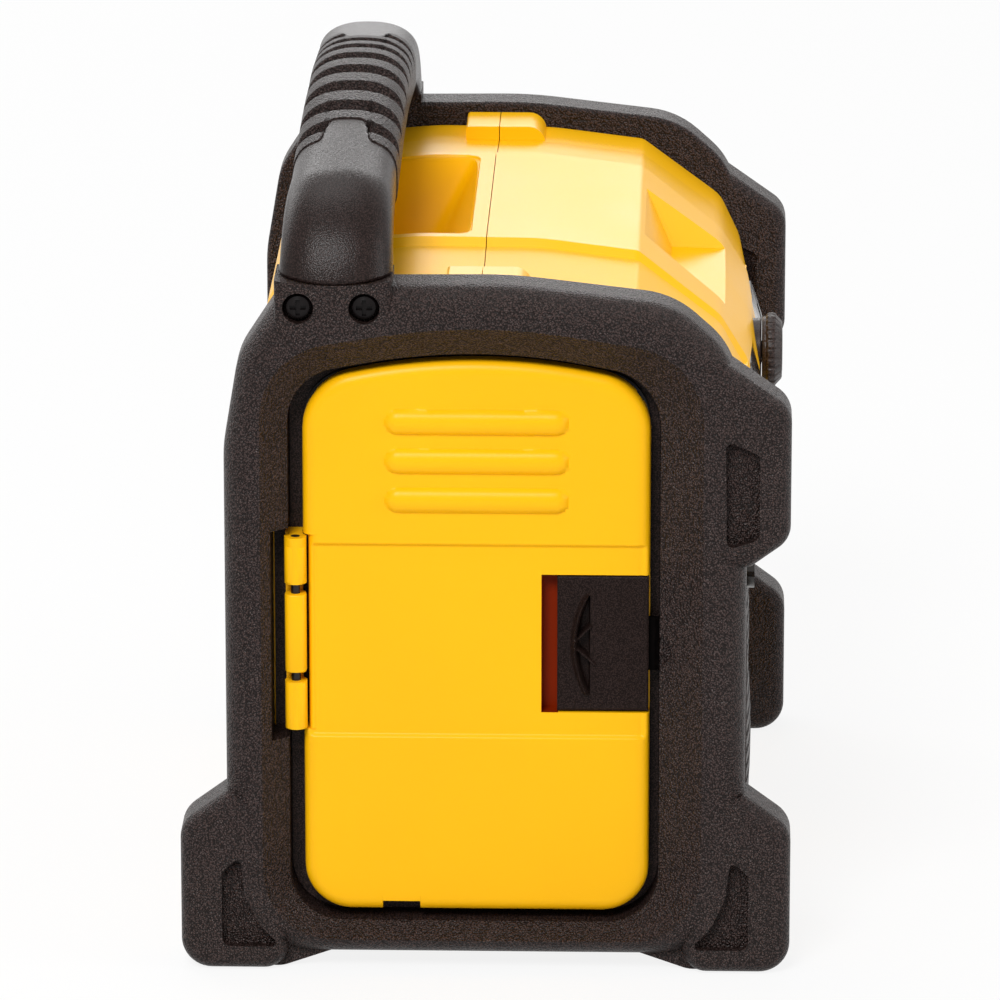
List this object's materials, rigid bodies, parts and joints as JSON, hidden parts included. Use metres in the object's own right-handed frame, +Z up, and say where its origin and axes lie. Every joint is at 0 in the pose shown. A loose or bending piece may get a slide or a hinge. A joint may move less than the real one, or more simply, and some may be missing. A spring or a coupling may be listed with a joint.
{
  "type": "jobsite radio",
  "caption": "Box-shaped jobsite radio with black bumper frames at both ends, an arched ribbed carrying handle, a hinged storage bay, front speakers and a central knob.",
  "frame": {"origin": "on the ground under the middle of the radio, at the middle of its bounding box's base", "axes": "+X along the handle towards the plain end panel, -Y out of the speakers' side, +Z up"},
  "size_m": [0.276, 0.198, 0.272],
  "materials": {
    "yellow_housing": "satin yellow moulding with a fine grain",
    "black_frame": "coarse pebble grain",
    "black_handle": "fine sheen",
    "grip_rubber": "soft matt overmould",
    "black_trim": "fine grain",
    "black_gloss": "polished",
    "button_rubber": "soft matt",
    "seal_rubber": "soft matt",
    "window_clear": "clear smoked pane",
    "display_grey": "pale display face",
    "board_green": "solder mask",
    "screw_dark": "dark coated steel",
    "steel_bright": "plain steel",
    "contact_brass": "bright contact metal",
    "cone_paper": "pressed paper",
    "cooler_alloy": "extruded",
    "ferrite_dark": "ferrite with lacquered winding"
  },
  "bodies": {
    "radio": {"aux_jack": "black_trim", "battery_dock": "black_trim", "board_screws": "steel_bright", "button_pad": "button_rubber", "cell_cover": "black_trim", "clock_cell": "steel_bright", "control_panel": "black_gloss", "display_module": "display_grey", "display_window": "window_clear", "dock_contacts": "contact_brass", "dock_screws": "screw_dark", "door_seal": "seal_rubber", "ferrite_antenna": "ferrite_dark", "frame_screws": "steel_bright", "front_housing": "yellow_housing", "handle_bar": "black_handle", "handle_grip": "grip_rubber", "handle_screws": "screw_dark", "heat_sink": "cooler_alloy", "hinge_leaf": "yellow_housing", "hinge_pin": "steel_bright", "housing_screws": "screw_dark", "inlet_pins": "steel_bright", "jack_board": "board_green", "knob_encoder": "steel_bright", "left_end_frame": "black_frame", "main_board": "board_green", "panel_screws": "screw_dark", "power_board": "board_green", "power_inlet": "black_trim", "rear_housing": "yellow_housing", "right_end_frame": "black_frame", "right_end_panel": "yellow_housing", "speaker_basket_left": "screw_dark", "speaker_basket_right": "screw_dark", "speaker_cone_left": "cone_paper", "speaker_cone_right": "cone_paper", "speaker_grille_left": "black_trim", "speaker_grille_right": "black_trim", "speaker_magnet_left": "ferrite_dark", "speaker_magnet_right": "ferrite_dark", "speaker_screws": "steel_bright", "storage_bay": "black_trim", "terminal_block": "black_trim", "transformer": "screw_dark", "trim_screws": "screw_dark", "usb_socket": "steel_bright"},
    "storage_door": {"storage_door": "yellow_housing"},
    "door_latch": {"door_latch": "black_trim"},
    "knob": {"tuning_knob": "black_trim", "knob_shaft": "steel_bright"},
    "power_button": {"power_button": "button_rubber"},
    "mode_button": {"mode_button": "button_rubber"},
    "seek_up_button": {"seek_up_button": "button_rubber"},
    "seek_down_button": {"seek_down_button": "button_rubber"},
    "preset_1_button": {"preset_1_button": "button_rubber"},
    "preset_2_button": {"preset_2_button": "button_rubber"},
    "preset_3_button": {"preset_3_button": "button_rubber"},
    "preset_4_button": {"preset_4_button": "button_rubber"}
  },
  "joints": [
    {"name": "storage_door_hinge", "type": "hinge", "parent": "radio", "child": "storage_door", "pos_m": [-0.129, 0.0612, 0.11325], "axis": [0, 0, -1], "range_deg": [0, 100]},
    {"name": "door_latch_slide", "type": "slide", "parent": "storage_door", "child": "door_latch", "axis": [0, 1, 0], "range_m": [0, 0.004], "stiffness_N_per_m": 600, "springref_m": -0.001},
    {"name": "tuning_knob_turn", "type": "hinge", "parent": "radio", "child": "knob", "pos_m": [0, -0.0926, 0.1733], "axis": [0, 1, 0], "continuous": true},
    {"name": "power_button_press", "type": "slide", "parent": "radio", "child": "power_button", "axis": [0, 1, 0], "range_m": [0, 0.001], "stiffness_N_per_m": 1200, "springref_m": -0.0005},
    {"name": "mode_button_press", "type": "slide", "parent": "radio", "child": "mode_button", "axis": [0, 1, 0], "range_m": [0, 0.001], "stiffness_N_per_m": 1200, "springref_m": -0.0005},
    {"name": "seek_up_button_press", "type": "slide", "parent": "radio", "child": "seek_up_button", "axis": [0, 1, 0], "range_m": [0, 0.001], "stiffness_N_per_m": 1200, "springref_m": -0.0005},
    {"name": "seek_down_button_press", "type": "slide", "parent": "radio", "child": "seek_down_button", "axis": [0, 1, 0], "range_m": [0, 0.001], "stiffness_N_per_m": 1200, "springref_m": -0.0005},
    {"name": "preset_1_button_press", "type": "slide", "parent": "radio", "child": "preset_1_button", "axis": [0, 1, 0], "range_m": [0, 0.001], "stiffness_N_per_m": 1200, "springref_m": -0.0005},
    {"name": "preset_2_button_press", "type": "slide", "parent": "radio", "child": "preset_2_button", "axis": [0, 1, 0], "range_m": [0, 0.001], "stiffness_N_per_m": 1200, "springref_m": -0.0005},
    {"name": "preset_3_button_press", "type": "slide", "parent": "radio", "child": "preset_3_button", "axis": [0, 1, 0], "range_m": [0, 0.001], "stiffness_N_per_m": 1200, "springref_m": -0.0005},
    {"name": "preset_4_button_press", "type": "slide", "parent": "radio", "child": "preset_4_button", "axis": [0, 1, 0], "range_m": [0, 0.001], "stiffness_N_per_m": 1200, "springref_m": -0.0005}
  ]
}
